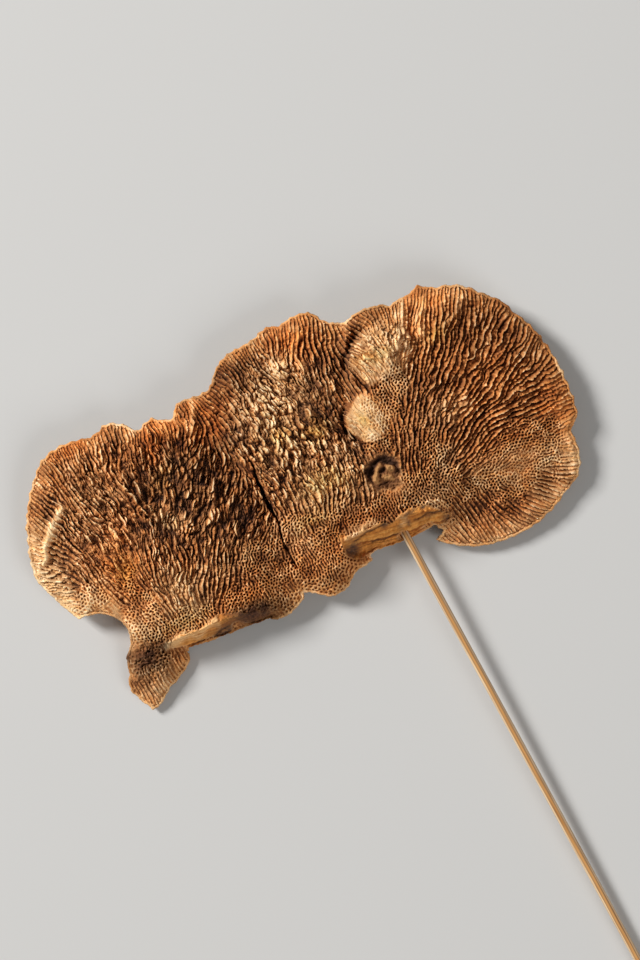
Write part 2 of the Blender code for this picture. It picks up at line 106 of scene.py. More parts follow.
# Soft zones of the gill face: x, y, reach in x, reach in y, strength.
ZONES = {
    # Round pores in place of plates.
    "pores": [
        (-62, 5, 24, 9, 1), (-36, 6, 22, 15, 1), (-115, 19, 9, 9, 1), (-130, 37, 8, 7, 1),
        (-8, 14, 18, 7, 1), (20, 10, 12, 12, 1), (27, 58, 7, 7, 1), (16, 49, 6, 9, 1),
        (55, 3, 26, 12, 1), (-122, 3, 10, 7, 1), (-58, 20, 12, 9, 0.9), (8, 39, 8, 5, 1),
        (-38, 25, 11, 7, 0.8), (-24, 19, 9, 6, 0.8), (28, 24, 12, 10, 0.7), (-102, 12, 16, 6, 0.9),
        (-110, 30, 5, 14, 0.7), (30, 40, 10, 6, 0.6), (-30, -8, 12, 6, 0.8), (4, 17, 12, 6, 1),
    ],
    # Tall torn flakes, plates broken into short chips, and plates that run on as long folds.
    "splintered": [
        (-22, 77, 13, 11, 1), (-28, 56, 16, 12, 0.9), (-12, 48, 8, 8, 0.8), (-84, 52, 6, 6, 1),
        (-74, 72, 9, 6, 0.7), (-104, 78, 5, 7, 0.5), (60, 40, 10, 6, 0.4), (-80, 44, 6, 5, 0.8),
        (-95, 50, 4, 11, 0.4),
    ],
    "broken": [
        (-78, 58, 30, 28, 1), (-22, 58, 27, 28, 1), (-95, 28, 22, 12, 0.55), (-60, 38, 18, 18, 0.9),
        (-135, 50, 12, 25, 0.5), (-112, 58, 16, 26, 0.75), (-100, 78, 24, 12, 0.7),
        (35, 42, 12, 12, 0.5), (38, 36, 9, 7, 0.6), (30, 20, 7, 5, 0.6), (-5, 30, 20, 9, 0.6),
    ],
    "folded": [
        (70, 48, 30, 28, 1), (50, 72, 18, 12, 0.9), (36, 86, 16, 8, 0.8), (-8, 92, 12, 9, 1),
        (-62, 88, 20, 7, 0.8), (-115, 92, 30, 9, 0.8), (82, 20, 14, 20, 1), (40, -14, 30, 7, 0.4),
    ],
    # The widest plates.
    "wide": [
        (68, 46, 24, 18, 1), (50, 68, 12, 8, 0.5), (-22, 77, 13, 10, 0.5),
    ],
    # Shallow relief: the far margins, the worn patch by the lower edge, the lowest lobe.
    "shallow": [
        (-140, 58, 7, 26, 0.5), (48, 3, 14, 9, 0.7), (82, 8, 8, 10, 0.5), (-124, -10, 12, 6, 0.4),
        (-50, 78, 5, 7, 0.7), (54, 82, 6, 6, 0.6), (4, 17, 6, 4, 0.9), (-106, 44, 8, 12, 0.4),
        (64, 0, 22, 10, 0.95), (48, 4, 13, 7, 0.9), (76, -4, 8, 8, 0.8), (-36, 14, 8, 8, 0.4),
        (-16, 10.3, 8, 2, 1), (25, 73, 9, 7, 0.6), (6, 51, 4, 6, 0.4), (-99, 23, 14, 9, 0.4),
        (-18, 30, 12, 7, 0.35), (78, 14, 10, 6, 0.6),
    ],
    # Patches of cream and of orange, patches of painted shade on the lobes' shaded forms, and
    # yellow-green tints of old moss.
    "pale": [
        (-141, 50, 8, 20, 1), (-135, 70, 8, 9, 0.9), (-131, 88, 8, 8, 0.4), (-22, 76, 15, 11, 1.3),
        (-25, 54, 15, 7, 0.9), (-100, 22, 14, 10, 1), (-110, 15, 10, 5, 0.5), (-66, 30, 6, 5, 0.3),
        (-84, 52, 5, 6, 1), (-115, 22, 9, 9, 0.6), (47, 3, 14, 10, 0.3), (-121, 39, 10, 15, 1),
        (-74, 72, 8, 5, 0.5), (-104, 76, 4, 7, 0.6), (-8, 42, 6, 5, 0.8), (-40, 20, 8, 8, 0.9),
        (5, 17, 5, 4, 0.5), (-122, -9, 12, 6, 0.5), (-20, 32, 13, 10, 1), (-96, 25, 9, 9, 1),
        (-89, 26, 8, 7, 0.6), (-112, 54, 12, 20, 0.75), (-112, 42, 9, 14, 0.8), (38, 37, 9, 6, 0.7),
        (30, 20, 6, 4, 0.6), (-7, 71, 5, 8, 0.7), (-6, 77, 5, 6, 0.7), (20, 10, 8, 6, 0.5),
        (-60, 9, 10, 6, 0.4), (-80, 50, 22, 20, 0.22), (-104, 80, 14, 10, 0.7),
        (-62, 94, 18, 1.5, 0.5), (30, -16, 26, 6, 0.5), (74, -6, 12, 9, 0.8), (-70, 24, 8, 5, 0.4),
        (60, -14, 12, 6, 0.8), (20, -10, 9, 6, 0.6), (55, 82, 5, 6, 0.5), (30, 58, 8, 6, 0.8),
        (26, 72, 10, 8, 1.6), (-30, 4, 9, 7, 0.3), (50, 70, 8, 6, 0.3), (-16, 10, 9, 2, 0.8),
        (17, 5, 3, 4, 0.6),
    ],
    "warm": [
        (-112, 44, 11, 20, 1), (-3, 92, 9, 8, 1), (54, 82, 7, 7, 1), (-71, 86, 12, 8, 1),
        (-105, 97, 12, 5, 0.9), (-50, 84, 12, 8, 0.9), (-98, 60, 4, 12, 0.5), (-44, 52, 3, 5, 0.8),
        (47, 72, 7, 7, 0.7), (-90, 35, 12, 8, 0.3), (30, 58, 10, 5, 0.4), (-68, 8, 18, 6, 0.9),
        (-95, 84, 22, 8, 0.5), (60, 12, 16, 6, 0.6), (-15, 14, 16, 6, 0.8), (62, 45, 34, 34, 0.4),
        (-32, 5, 20, 10, 0.6), (42, -12, 34, 8, 0.45), (4, 17, 6, 5, 0.7), (84, 15, 10, 14, 0.7),
        (-40, 15, 10, 12, 0.5), (-130, 88, 10, 8, 0.4),
    ],
    # Painted shade on the shaded parts of the lobes.
    "dark": [
        (-58, 62, 12, 13, 0.6), (-88, 66, 4, 18, 0.5), (-1.5, 60, 6, 13, 1), (36, 48, 14, 10, 0.6),
        (11, 73, 3, 12, 1), (-57, 20, 4, 4, 0.7), (-40, 82, 5, 8, 0.5), (-30, 92, 14, 6, 1),
        (14, 37, 7, 4, 0.5), (70, 28, 16, 4, 0.3), (-48, 75, 10, 11, 1), (2, 34, 9, 4, 0.5),
        (28, 30, 12, 7, 0.4), (-50, 40, 7, 10, 0.6), (8, 82, 5, 10, 0.3), (68, 62, 16, 12, 1),
        (-62, 76, 9, 7, 0.8), (-12, 14, 15, 6, 1), (-106, 82, 8, 6, 0.4), (5, 14, 9, 5, 0.7),
        (36, 88, 8, 5, 0.4), (82, 46, 10, 12, 0.9), (88, 8, 6, 8, 0.5), (-36, 2, 12, 5, 0.4),
        (60, 12, 14, 5, 0.3),
    ],
    "yellow": [
        (-10, 57, 5, 4, 0.7), (52, 66, 5, 3, 0.7), (-25, 62, 6, 4, 0.5), (25, 71, 6, 3, 0.4),
        (8, 49, 3, 3, 0.5), (-112, 40, 3, 4, 0.6), (-20, 34, 8, 4, 0.5), (-78, 70, 5, 4, 0.4),
        (-30, 24, 8, 4, 0.4), (-100, 12, 10, 4, 0.3),
    ],
    # Brown crust on the small lowest lobe, and the smooth wall that the bite laid bare.
    "crust": [
        (-120, 6, 9, 6, 1), (-127, 11, 5, 4, 1), (-122, 2, 8, 5, 1), (-112, 6, 5, 4, 0.8),
        (-74, 2, 8, 5, 1), (-67, 0, 7, 4, 1),
    ],
    "wall": [(-122.5, 24, 2.0, 8, 1)],
}
# Worn folds that stand proud of the gills: from, to, half width, height.
FOLDS = [
    ((-138, 63), (-121, 80), 1.5, 2.2), ((-140, 64), (-146, 52), 1.5, 1.0),
    ((-137, 34), (-128, 44), 1.6, 1.0), ((44, 72), (54, 84), 1.8, 1.2),
    ((-22, 9.0), (-10, 10.5), 1.4, 1.2), ((-111, 6), (-101, 7.2), 1.8, 1.6),
    ((-101, 7.2), (-88, 5), 1.3, 1.1), ((1.6, 3.6), (1.8, 4.4), 1.0, 0.8),
    ((14, 7), (21, 0.5), 1.1, 0.9), ((36, 74), (44, 86), 1.5, 1.0), ((56, 68), (66, 76), 1.4, 0.9),
    ((-16, 84), (-10, 98), 1.6, 0.9), ((-4, 82), (0, 98), 1.5, 0.9),
    ((-58, 80), (-52, 92), 1.6, 0.9), ((-70, 78), (-66, 90), 1.4, 0.8),
]

# The round knobs, as the solid has them: centre and radii. A groove parts them from the gills.
KNOBS = [((27.5, 71), (13.5, 12)), ((10, 50), (10, 11.5))]
GROOVE_DEPTH = 3.2

# The knot: a pit round the stub of a twig, which sits a little below the pit's middle.
KNOT_CENTRE, PIT_RADII, STUB_RADII = (4, 27), (7, 7.5), (4.3, 4.4)
STUB_SHIFT = 0.6
PIT_DEPTH = 3.2

# The crack between the left and middle lobes: a line, half its width at each point, and its floor.
CRACK = [
    (-47.8, 2, 0.05), (-47.2, 12, 0.3), (-45.6, 26, 0.5), (-44.4, 40, 0.5), (-43.4, 50, 0.35),
    (-42.6, 62, 0.1),
]
CRACK_FLOOR = 9.5
NOTCH_REACH = 2.2  # this far round it, the solid's own notch is closed first

# The cut roots: centre, outward direction, half length, half height, as the solid has them.
SCARS = [
    ((-2, 3.5, 13.5), (-0.15, -0.81, 0.57), 24, 13),
    ((-87, 1.2, 8.5), (-0.15, -0.87, 0.47), 26, 9),
]
BETWEEN_SCARS = -45  # in x
# The edge left of and below this place lay against the trunk. The rest of the edge grew.
TRUNK_END = (26, 16)
# On the cuts: grey-brown stains, pale ends and edges, and thin dark cracks.
CUT_ZONES = {
    "stain": [
        (-22.5, 4.5, 3.5, 3, 1), (-5.7, 7.1, 1.8, 1.1, 0.9), (19, -2.5, 3, 1.5, 0.8),
        (3.7, 3.4, 0.9, 1.6, 0.8), (-0.2, 3.2, 0.9, 1.4, 0.6), (-73, 2, 10, 5, 1),
        (-85, 0, 8, 3, 0.9), (11.5, 6.2, 1.1, 0.9, 1), (5, 6.8, 3, 0.9, 0.8),
        (-2, -0.4, 1.6, 0.9, 0.9), (-17.5, -0.5, 4.5, 2.5, 0.4), (12, 1.5, 4, 1.2, 0.5),
    ],
    "faded": [
        (-108, 4.6, 5, 2, 1), (-96, 5.8, 9, 0.9, 0.9), (1.7, 4.2, 1.7, 1.4, 1),
        (-14, -2, 6, 2, 0.6), (12, -4.2, 10, 1.2, 0.8), (-10, -4, 10, 1.4, 0.6),
        (-14, 9.6, 10, 1.6, 0.9), (-9, 0, 5, 1.6, 0.4), (16.5, 5.5, 3, 3, 0.7),
        (19, 2.5, 2.5, 4, 0.9),
    ],
}
CUT_CRACKS = [
    [(-20, 7.0), (-14, 8.2), (-6.4, 7.9), (0.7, 8.2)],
    [(-14, 3.2), (-9.3, 2.1), (-2.9, 1.3)],
    [(6, 2.8), (12, 2.6), (18, 0.8)],
    [(-101, 1.4), (-92, 0.4), (-84, 1.8)],
]

# Spacings in mm that the plates and pores can have.
SPACINGS = (1.15, 1.45, 1.85, 2.4)
PLATE_DEPTH = 3.6
PORE_DEPTH = 2.2
LEAN = 0.7  # the plates' edges lean sideways by about this much
LEAN_FROM = (-0.5, 0.86)  # away from this side
CREST = 0.7  # the plates stand this far above the solid's mean face
TOP = cad_box[1][2] / MM  # nothing stands above the solid

# The rim's rows, from the gill face round its lip and under: how far out in mm, how far down.
RIM_OUT = (0, 0.3, 0.42, 0.4, 0.3, 0.05, -0.5, -1.3)
RIM_DROP = (0, 0.1, 0.25, 0.42, 0.6, 0.78, 0.93, 1.0)
RIM_INSET, CAP_INSET = 0.7, 0.9  # how far the edges are drawn in
UNDER_LIP = 1.2  # the rim meets the underside this far in

# The maps that the gill face's material reads.
MARKS = (
    "scar", "knot", "pale", "warm", "dark", "yellow", "crust", "wall", "drop", "stain", "faded",
    "cut_crack", "fold",
)

# The flat map that the colours can be baked through: its margin and its step for each row of the
# rim, in mm.
MAP_MARGIN = 3
MAP_ROW = 0.3


# ---- maps ----

def shape_of(step):
    return round((FAR - NEAR) / step), round((RIGHT - LEFT) / step)


def grid_of(step):
    """x and y of every cell of a map, in mm."""
    rows, columns = shape_of(step)
    x = LEFT + step * (np.arange(columns) + 0.5)
    y = NEAR + step * (np.arange(rows) + 0.5)
    return np.meshgrid(x, y)


def sample(field, x, y):
    """The map's value at each (x, y), read between its cells."""
    rows, columns = field.shape
    step = (RIGHT - LEFT) / columns
    across = np.clip((x - LEFT) / step - 0.5, 0, columns - 1.001)
    up = np.clip((y - NEAR) / step - 0.5, 0, rows - 1.001)
    i, j = across.astype(int), up.astype(int)
    a, b = across - i, up - j
    low = field[j, i] * (1 - a) + field[j, i + 1] * a
    high = field[j + 1, i] * (1 - a) + field[j + 1, i + 1] * a
    return low * (1 - b) + high * b


def refine(field):
    return sample(field, *grid_of(FINE))


def wave_numbers(shape, step):
    """The squared wave number of each term of a map's Fourier sum."""
    up = np.fft.fftfreq(shape[0], step)[:, None]
    across = np.fft.rfftfreq(shape[1], step)[None, :]
    return (up**2 + across**2) * math.tau**2


def blur(field, reach):
    step = (RIGHT - LEFT) / field.shape[1]
    weights = np.exp(-wave_numbers(field.shape, step) * reach**2 / 2)
    return np.fft.irfft2(np.fft.rfft2(field) * weights, s=field.shape)


def noise(reach, seed, step=COARSE):
    """Smooth random hills of about this reach, with a spread of 1."""
    hills = blur(np.random.default_rng(seed).standard_normal(shape_of(step)), reach)
    return hills / hills.std()


def ease(low, high, value):
    """A soft step, 0 until low and 1 from high on."""
    share = np.clip((value - low) / (high - low), 0, 1)
    return share * share * (3 - 2 * share)


def towards(value, goal, share):
    return value + (goal - value) * share


def zone(spots, wander=1.5):
    """A map of soft elliptic spots, from 0 to 1, with an uneven edge."""
    x, y = grid_of(COARSE)
    x = x + wander * noise(4, 11)
    y = y + wander * noise(4, 12)
    total = np.zeros(x.shape)
    for centre_x, centre_y, reach_x, reach_y, strength in spots:
        away = ((x - centre_x) / reach_x) ** 2 + ((y - centre_y) / reach_y) ** 2
        total = np.maximum(total, strength * np.exp(-away * 0.8))
    return total


def off_middle(x, y, centre, radii):
    """Places in an ellipse's own radii: across it, up it, and away from its middle."""
    across, up = (x - centre[0]) / radii[0], (y - centre[1]) / radii[1]
    return across, up, np.hypot(across, up)


def off_line(x, y, start, end):
    """How far each point is from a straight line, and its share of the way along it."""
    run_x, run_y = end[0] - start[0], end[1] - start[1]
    from_x, from_y = x - start[0], y - start[1]
    share = np.clip((from_x * run_x + from_y * run_y) / (run_x**2 + run_y**2), 0, 1)
    return np.hypot(from_x - share * run_x, from_y - share * run_y), share


def off_lines(x, y, lines):
    """How far each point is from the nearest of some lines."""
    parts = [part for line in lines for part in zip(line, line[1:])]
    return np.minimum.reduce([off_line(x, y, *part)[0] for part in parts])


def bearing_map():
    """The gills' direction, between the bearings read at a few places."""
    x, y = grid_of(COARSE)
    double_cos, double_sin = np.zeros(x.shape), np.zeros(x.shape)
    for at_x, at_y, bearing in BEARINGS:
        weight = ((x - at_x) ** 2 + (y - at_y) ** 2 + 9) ** -2.0
        double_cos += weight * math.cos(math.radians(2 * bearing))
        double_sin += weight * math.sin(math.radians(2 * bearing))
    return np.arctan2(double_sin, double_cos) / 2


def cast(tree, upward):
    """The heights of the solid's face, in mm, and NaN beside it."""
    x, y = grid_of(COARSE)
    start = -1.0 if upward else 1.0
    direction = Vector((0, 0, -start))
    places = zip(x.ravel() * MM + ENTRY.x, y.ravel() * MM + ENTRY.y)
    hits = [tree.ray_cast(Vector((*place, start)), direction)[0] for place in places]
    return np.array([np.nan if hit is None else hit.z / MM for hit in hits]).reshape(x.shape)


def filled(heights, cover, reach=1.5):
    """The heights carried on past the outline."""
    known = np.where(cover, heights, 0)
    wide = blur(known, reach) / np.maximum(blur(cover.astype(float), reach), 1e-3)
    return np.where(cover, heights, wide)


def without_ribs(heights):
    """The heights with the solid's coarse ribs smoothed away and its steps kept."""
    levels = np.arange(0, 30, 1.5)
    first = blur(heights, 1.2)
    layers = []
    for level in levels:
        near = np.exp(-(((heights - level) / 1.6) ** 2))
        layers.append(blur(near * heights, 2.4) / np.maximum(blur(near, 2.4), 1e-4))
    place = np.clip(first / 1.5, 0, len(levels) - 1.001)
    k = place.astype(int)
    share = place - k
    layers = np.array(layers)
    rows, columns = np.indices(heights.shape)
    return layers[k, rows, columns] * (1 - share) + layers[k + 1, rows, columns] * share


def distance_inside(cover, along=True):
    """How far each cell lies from the outline, or from its part along, in mm."""
    x, y = grid_of(COARSE)
    edge = cover & (blur(cover.astype(float), 0.4) < 0.9) & along
    points = np.column_stack([x[edge], y[edge]])
    tree = kdtree.KDTree(len(points))
    for k, point in enumerate(points):
        tree.insert((*point, 0), k)
    tree.balance()
    away = np.zeros(x.shape)
    away[cover] = [tree.find((*point, 0))[2] for point in zip(x[cover], y[cover])]
    return away


def on_scar(centre, direction, x, y, height):
    """Places along a cut root, up it, and off its plane, in mm."""
    out = Vector(direction).normalized()
    level = Vector((0, 0, 1)).cross(out).normalized()
    offset = (x - centre[0], y - centre[1], height - centre[2])
    return [sum(a * b for a, b in zip(offset, axis)) for axis in (level, out.cross(level), out)]


def scar_map(heights):
    """1 on the cut roots, read where the solid lies on the plane of a cut."""
    x, y = grid_of(COARSE)
    found = np.zeros(x.shape)
    for centre, direction, half_length, half_height in SCARS:
        along, up, off = on_scar(centre, direction, x, y, heights)
        inside = (along / half_length) ** 2 + (up / half_height) ** 2 < 1.1
        found = np.maximum(found, (np.abs(off) < 0.35) & inside)
    return blur(found, 0.9)


def drawn_along(field, cosine, sine, reach):
    """The map blurred along the gills, by the given reach in mm."""
    x, y = grid_of(FINE)
    total = field.copy()
    steps = 3
    for k in range(1, steps + 1):
        shift = reach * k / steps
        for side in (-1, 1):
            total += sample(field, x + side * shift * cosine, y + side * shift * sine)
    return total / (2 * steps + 1)


def banded(pattern, bands, place):
    """The map with only the wanted spacing kept at each point."""
    terms = np.fft.rfft2(pattern)
    total = np.zeros(pattern.shape)
    for k, band in enumerate(bands):
        kept = np.fft.irfft2(terms * band, s=pattern.shape)
        total += np.clip(1 - np.abs(place - k), 0, 1) * kept / (kept.std() + 1e-9)
    return total


def pattern_of(seed, width, turns, steep, net, cosine, sine, reach, spacing):
    """Random hills, drawn along the gills, kept to a spacing and sharpened or joined to a net."""
    pattern = np.random.default_rng(seed).standard_normal(cosine.shape)
    numbers = np.sqrt(wave_numbers(cosine.shape, FINE))
    bands = [np.exp(-(((numbers * s / math.tau - 1) / width) ** 2)) for s in SPACINGS]
    place = np.interp(spacing, SPACINGS, range(len(SPACINGS)))
    for turn in range(turns):
        pattern = banded(drawn_along(pattern, cosine, sine, reach), bands, place)
        pattern = np.tanh(steep * pattern - net * (pattern**2 - 1))
    return pattern


def facing(cosine, sine):
    """Which side of the plates the light is on, between -1 and 1."""
    return np.tanh(6 * (cosine * LEAN_FROM[1] - sine * LEAN_FROM[0]))


def far_side(cosine, sine):
    """The direction across the plates, away from the light."""
    side = facing(cosine, sine)
    return side * sine, -side * cosine


def plate_profile(pattern, cosine, sine, spacing, folded, gap):
    """Each plate as a face that rises away from the light to an edge, with a gap beyond it."""
    x, y = grid_of(FINE)
    near = 0.3
    ahead = sample(pattern, x + near * sine, y - near * cosine)
    behind = sample(pattern, x - near * sine, y + near * cosine)
    difference = facing(cosine, sine) * (ahead - behind) / 2
    slope = difference / np.sin(math.tau * near / spacing)
    place = 0.5 - np.arctan2(slope, pattern) / math.tau
    start = np.clip(0.18 - 0.1 * folded + 0.4 * gap, 0.06, 0.5)
    face = np.clip((place - start) / (0.84 - start), 0, 1)
    lit = ease(start - 0.1, start + 0.06, place)
    lit = lit * (0.40 + 0.1 * folded + (0.60 - 0.1 * folded) * face**2)
    return lit * ease(0.98, 0.85, place)


def chip_maps(cosine, sine, wide, long, slender, seed):
    """Torn chips: a random number on each, how far off its edge is, and its far side."""
    x, y = grid_of(FINE)
    random = np.random.default_rng(seed)
    first, second = np.full(x.shape, 9.0), np.full(x.shape, 9.0)
    number, tilt = np.zeros(x.shape), np.zeros(x.shape)
    far_x, far_y = far_side(cosine, sine)
    step = math.sqrt(wide * long)
    reach = round(1.3 * long / FINE)
    for low_x in np.arange(LEFT, RIGHT, step):
        for low_y in np.arange(NEAR, FAR, step):
            at_x, at_y = low_x + step * random.random(), low_y + step * random.random()
            i = min(int((at_x - LEFT) / FINE), x.shape[1] - 1)
            j = min(int((at_y - NEAR) / FINE), x.shape[0] - 1)
            part = np.s_[max(j - reach, 0):j + reach, max(i - reach, 0):i + reach]
            off_x, off_y = x[part] - at_x, y[part] - at_y
            stretch = 1 + 0.35 * slender[j, i]
            along = (off_x * cosine[j, i] + off_y * sine[j, i]) / stretch
            across = (off_y * cosine[j, i] - off_x * sine[j, i]) * stretch
            away = np.hypot(along / long, across / wide)
            nearer = away < first[part]
            second[part] = np.where(nearer, first[part], np.minimum(second[part], away))
            number[part] = np.where(nearer, random.random(), number[part])
            far = (off_x * far_x[j, i] + off_y * far_y[j, i]) * stretch / wide
            tilt[part] = np.where(nearer, far, tilt[part])
            first[part] = np.minimum(first[part], away)
    return number, second - first, ease(-0.45, 0.4, tilt)


def crack_depth(x, y, top, wiggle):
    """How far the crack goes down, on a line whose width changes."""
    depth = np.zeros(x.shape)
    for (*start, half1), (*end, half2) in zip(CRACK, CRACK[1:]):
        away, share = off_line(x, y, start, end)
        half = half1 + (half2 - half1) * share + 0.12 * wiggle
        side = ease(half + 0.3, half - 0.3, away)
        depth = np.maximum(depth, side * (top - CRACK_FLOOR) * ease(-0.1, 0.5, half))
    return np.maximum(depth, 0)


def fold_map(x, y):
    """The height of the folds, each highest along its middle line."""
    return np.maximum.reduce([
        tall * np.exp(-((off_line(x, y, start, end)[0] / half) ** 2))
        for start, end, half, tall in FOLDS
    ])


def knob_maps(x, y):
    """1 on the knobs, on their pale side, and in the groove beside them. The pale side reaches the
    knob's edge only towards the light, as painted light.
    """
    on, bright, groove = np.zeros(x.shape), np.zeros(x.shape), np.zeros(x.shape)
    for knob in KNOBS:
        across, up, away = off_middle(x, y, *knob)
        side = (-0.95 * across + 0.15 * up) / np.maximum(away, 0.1)
        trench = ease(-0.1, 0.8, side) * np.exp(-(((away - 1.11) / 0.1) ** 2))
        on = np.maximum(on, ease(1.04, 0.9, away))
        bright = np.maximum(bright, ease(1.05, 0.9, away + 0.5 * np.maximum(-side, 0)))
        groove = np.maximum(groove, trench)
    return on, bright, groove


def settled_knobs(top, known):
    """The face with the knobs' right sides let down towards the gills round them."""
    x, y = grid_of(COARSE)
    for knob in KNOBS:
        across, up, away = off_middle(x, y, *knob)
        level = filled(top, known & (away > 1.25), 7)
        down = 0.4 * ease(0.0, 0.8, across - 0.3 * up) * ease(1.35, 0.95, away)
        top = top + np.minimum(level - top, 0) * down
    return top


def knot_maps(x, y, wiggle):
    """1 all over the knot, and how far down it goes, as a share of its depth."""
    across, up = x - KNOT_CENTRE[0], y - KNOT_CENTRE[1]
    pit = np.hypot(across / PIT_RADII[0], up / PIT_RADII[1]) * (1 + 0.09 * wiggle)
    stub = np.hypot(across / STUB_RADII[0], (up + STUB_SHIFT) / STUB_RADII[1])
    stub = stub * (1 + 0.12 * wiggle)
    low_side = ease(0.3, -0.7, up / np.maximum(np.hypot(across, up), 0.1))
    down = ease(1.12, 0.72, pit) * ease(0.9, 1.2, stub) * (1 - 0.8 * low_side)
    hollow = 0.55 * ease(1.0, 0.4, np.hypot((across - 0.2) / 2.6, (up - 0.8) / 1.5))
    chips = 0.2 * wiggle * ease(1.4, 0.9, stub)
    skin = ease(1.2, 0.9, pit)
    return skin, down + hollow + chips + 0.2 * skin * ease(-0.2, 0.9, low_side)


# ---- the fungus's maps ----

class Fungus:
    """Every map that the meshes are shaped by."""

    def __init__(self):
        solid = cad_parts["fungus"]
        tree = BVHTree.FromObject(solid, bpy.context.evaluated_depsgraph_get())
        top, back = cast(tree, upward=False), cast(tree, upward=True)
        cover = ~np.isnan(top)
        self.cover = blur(cover.astype(float), 0.35)
        self.back = blur(filled(back, cover), 0.6)
        self.inside = distance_inside(cover)
        x, y = grid_of(COARSE)
        grew = (x > TRUNK_END[0]) | (y > TRUNK_END[1])
        self.grown = distance_inside(cover, along=grew) + 1.5 * noise(7, 43)
        self.read_forms(filled(top, cover), cover)
        self.mark_zones()
        self.grow_gills()
        self.tear_chips()

    def read_forms(self, top, cover):
        """The cuts, knot, crack, folds and knobs, and the smooth face that they stand on."""
        x, y = grid_of(COARSE)
        wiggle = noise(2.5, 31)
        self.scar = sample(scar_map(top), x + 1.1 * noise(2.6, 50), y + 1.1 * noise(2.6, 51))
        ragged = 0.9 * self.scar * (1 - self.scar) * noise(1.3, 46)
        self.scar = ease(0.3, 0.75, self.scar + ragged)
        self.cut_crack = ease(0.55, 0.1, off_lines(x, y + 0.25 * noise(1.2, 41), CUT_CRACKS))
        self.knot, knot_down = knot_maps(x, y, noise(0.9, 38))
        self.drop = PIT_DEPTH * knot_down
        notch = off_lines(x, y, [[point[:2] for point in CRACK[:5]]]) < NOTCH_REACH
        known = cover & ~((self.knot > 0.05) | notch)
        whole = settled_knobs(filled(top, known, 2.5), known)
        cut = ease(0.1, 0.7, self.scar)
        self.top = without_ribs(whole) * (1 - cut) + top * cut
        self.crack = crack_depth(x + 0.45 * noise(1.6, 42), y, self.top, noise(1.5, 32))
        self.fold = fold_map(x + 1.2 * wiggle, y + 1.2 * noise(2.5, 39))
        wobbled = (x + 0.9 * wiggle, y + 0.9 * noise(2.5, 33))
        self.knob, self.bright, self.groove = knob_maps(*wobbled)

    def mark_zones(self):
        """The soft zones, and what the knobs and folds add to them."""
        for name, spots in ZONES.items():
            setattr(self, name, zone(spots))
        for name, spots in CUT_ZONES.items():
            setattr(self, name, zone(spots, wander=0.5))
        self.faded = ease(0.25, 0.75, self.faded)
        self.broken = np.maximum(self.broken, 0.42 * self.knob)
        # The knobs are pale, with painted light on their side towards the lamp; the folds are pale
        # with wear.
        self.pale = np.maximum(self.pale, np.maximum(0.85 * self.bright, 0.5 * self.fold))
        # Painted shade: the shaded patches, off the knobs, and the groove beside the knobs.
        self.dark = np.maximum(self.dark * (1 - self.knob), self.groove)
        self.shallow = np.maximum(self.shallow, 0.5 * self.knob) + 0.2 * noise(6, 47)
        self.shallow = np.clip(self.shallow, 0, 1)
        self.lumps, self.tone = noise(3.0, 9), noise(4.5, 10)

    def grow_gills(self):
        """The gills' direction, and the plates and pores that run along it."""
        self.gap = 0.22 * noise(2.2, 34) + 0.2 * self.dark - 0.3 * self.wide
        bend = 0.13 + 0.2 * self.broken + 0.12 * self.wide
        self.bend_x = bend * noise(1.0, 35) + 0.6 * self.wide * noise(2.2, 48)
        self.bend_y = bend * noise(1.0, 36) + 0.6 * self.wide * noise(2.2, 49)
        bearing = bearing_map() + 0.12 * noise(5, 21) + 0.12 * self.broken * noise(1.8, 40)
        bearing = np.arctan2(refine(np.sin(2 * bearing)), refine(np.cos(2 * bearing))) / 2
        self.cosine, self.sine = np.cos(bearing), np.sin(bearing)
        along = self.cosine, self.sine
        self.far_x, self.far_y = far_side(*along)
        spacing = 1.75 + 0.5 * self.wide + 0.12 * noise(6, 22) - 0.5 * self.knob
        spacing -= 0.25 * ease(14, 3, self.inside) * (1 - self.wide)
        spacing = refine(np.clip(spacing, SPACINGS[0], SPACINGS[-1]))
        reach = 2.0 - 1.2 * refine(self.broken)
        plates = pattern_of(5, 0.36, 5, 0.9, 0, *along, reach, spacing)
        plates = plate_profile(plates, *along, spacing, refine(self.folded), refine(self.gap))
        pore_spacing = refine(1.25 + 0.45 * ease(7, 0, self.inside))
        pores = pattern_of(6, 0.22, 9, 1.1, 0.75, *along, 0.2, pore_spacing)
        pores = ease(-0.35, 0.7, pores - refine(self.gap))
        share = ease(0.25, 0.7, refine(self.pores + 0.12 * noise(1.5, 37)))
        self.plate = plates * (1 - share) + pores * share

    def tear_chips(self):
        """The chips and torn flakes, more slender on the left lobe, and the fine streaks."""
        along = self.cosine, self.sine
        slender = 0.45 + 0.55 * ease(-36, -56, grid_of(FINE)[0])
        self.chip, self.chip_edge, self.chip_tilt = chip_maps(*along, 1.2, 4.2, slender, 16)
        self.torn, self.torn_edge, self.torn_tilt = chip_maps(*along, 1.45, 4.4, slender, 17)
        self.ragged, self.bundle = self.streaks(8, 0.45, 1.0), self.streaks(13, 1.6, 4.0)
        self.fine = noise(0.28, 15, FINE)

    def streaks(self, seed, width, length):
        """Random hills drawn out along the gills."""
        rough = blur(np.random.default_rng(seed).standard_normal(self.cosine.shape), width)
        for turn in range(2):
            rough = drawn_along(rough, self.cosine, self.sine, length)
        return rough / rough.std()

    def reader(self, x, y):
        """A function that reads the map of a given name at these places."""
        return cache(lambda name: sample(getattr(self, name), x, y))


# ---- the gill face's relief ----

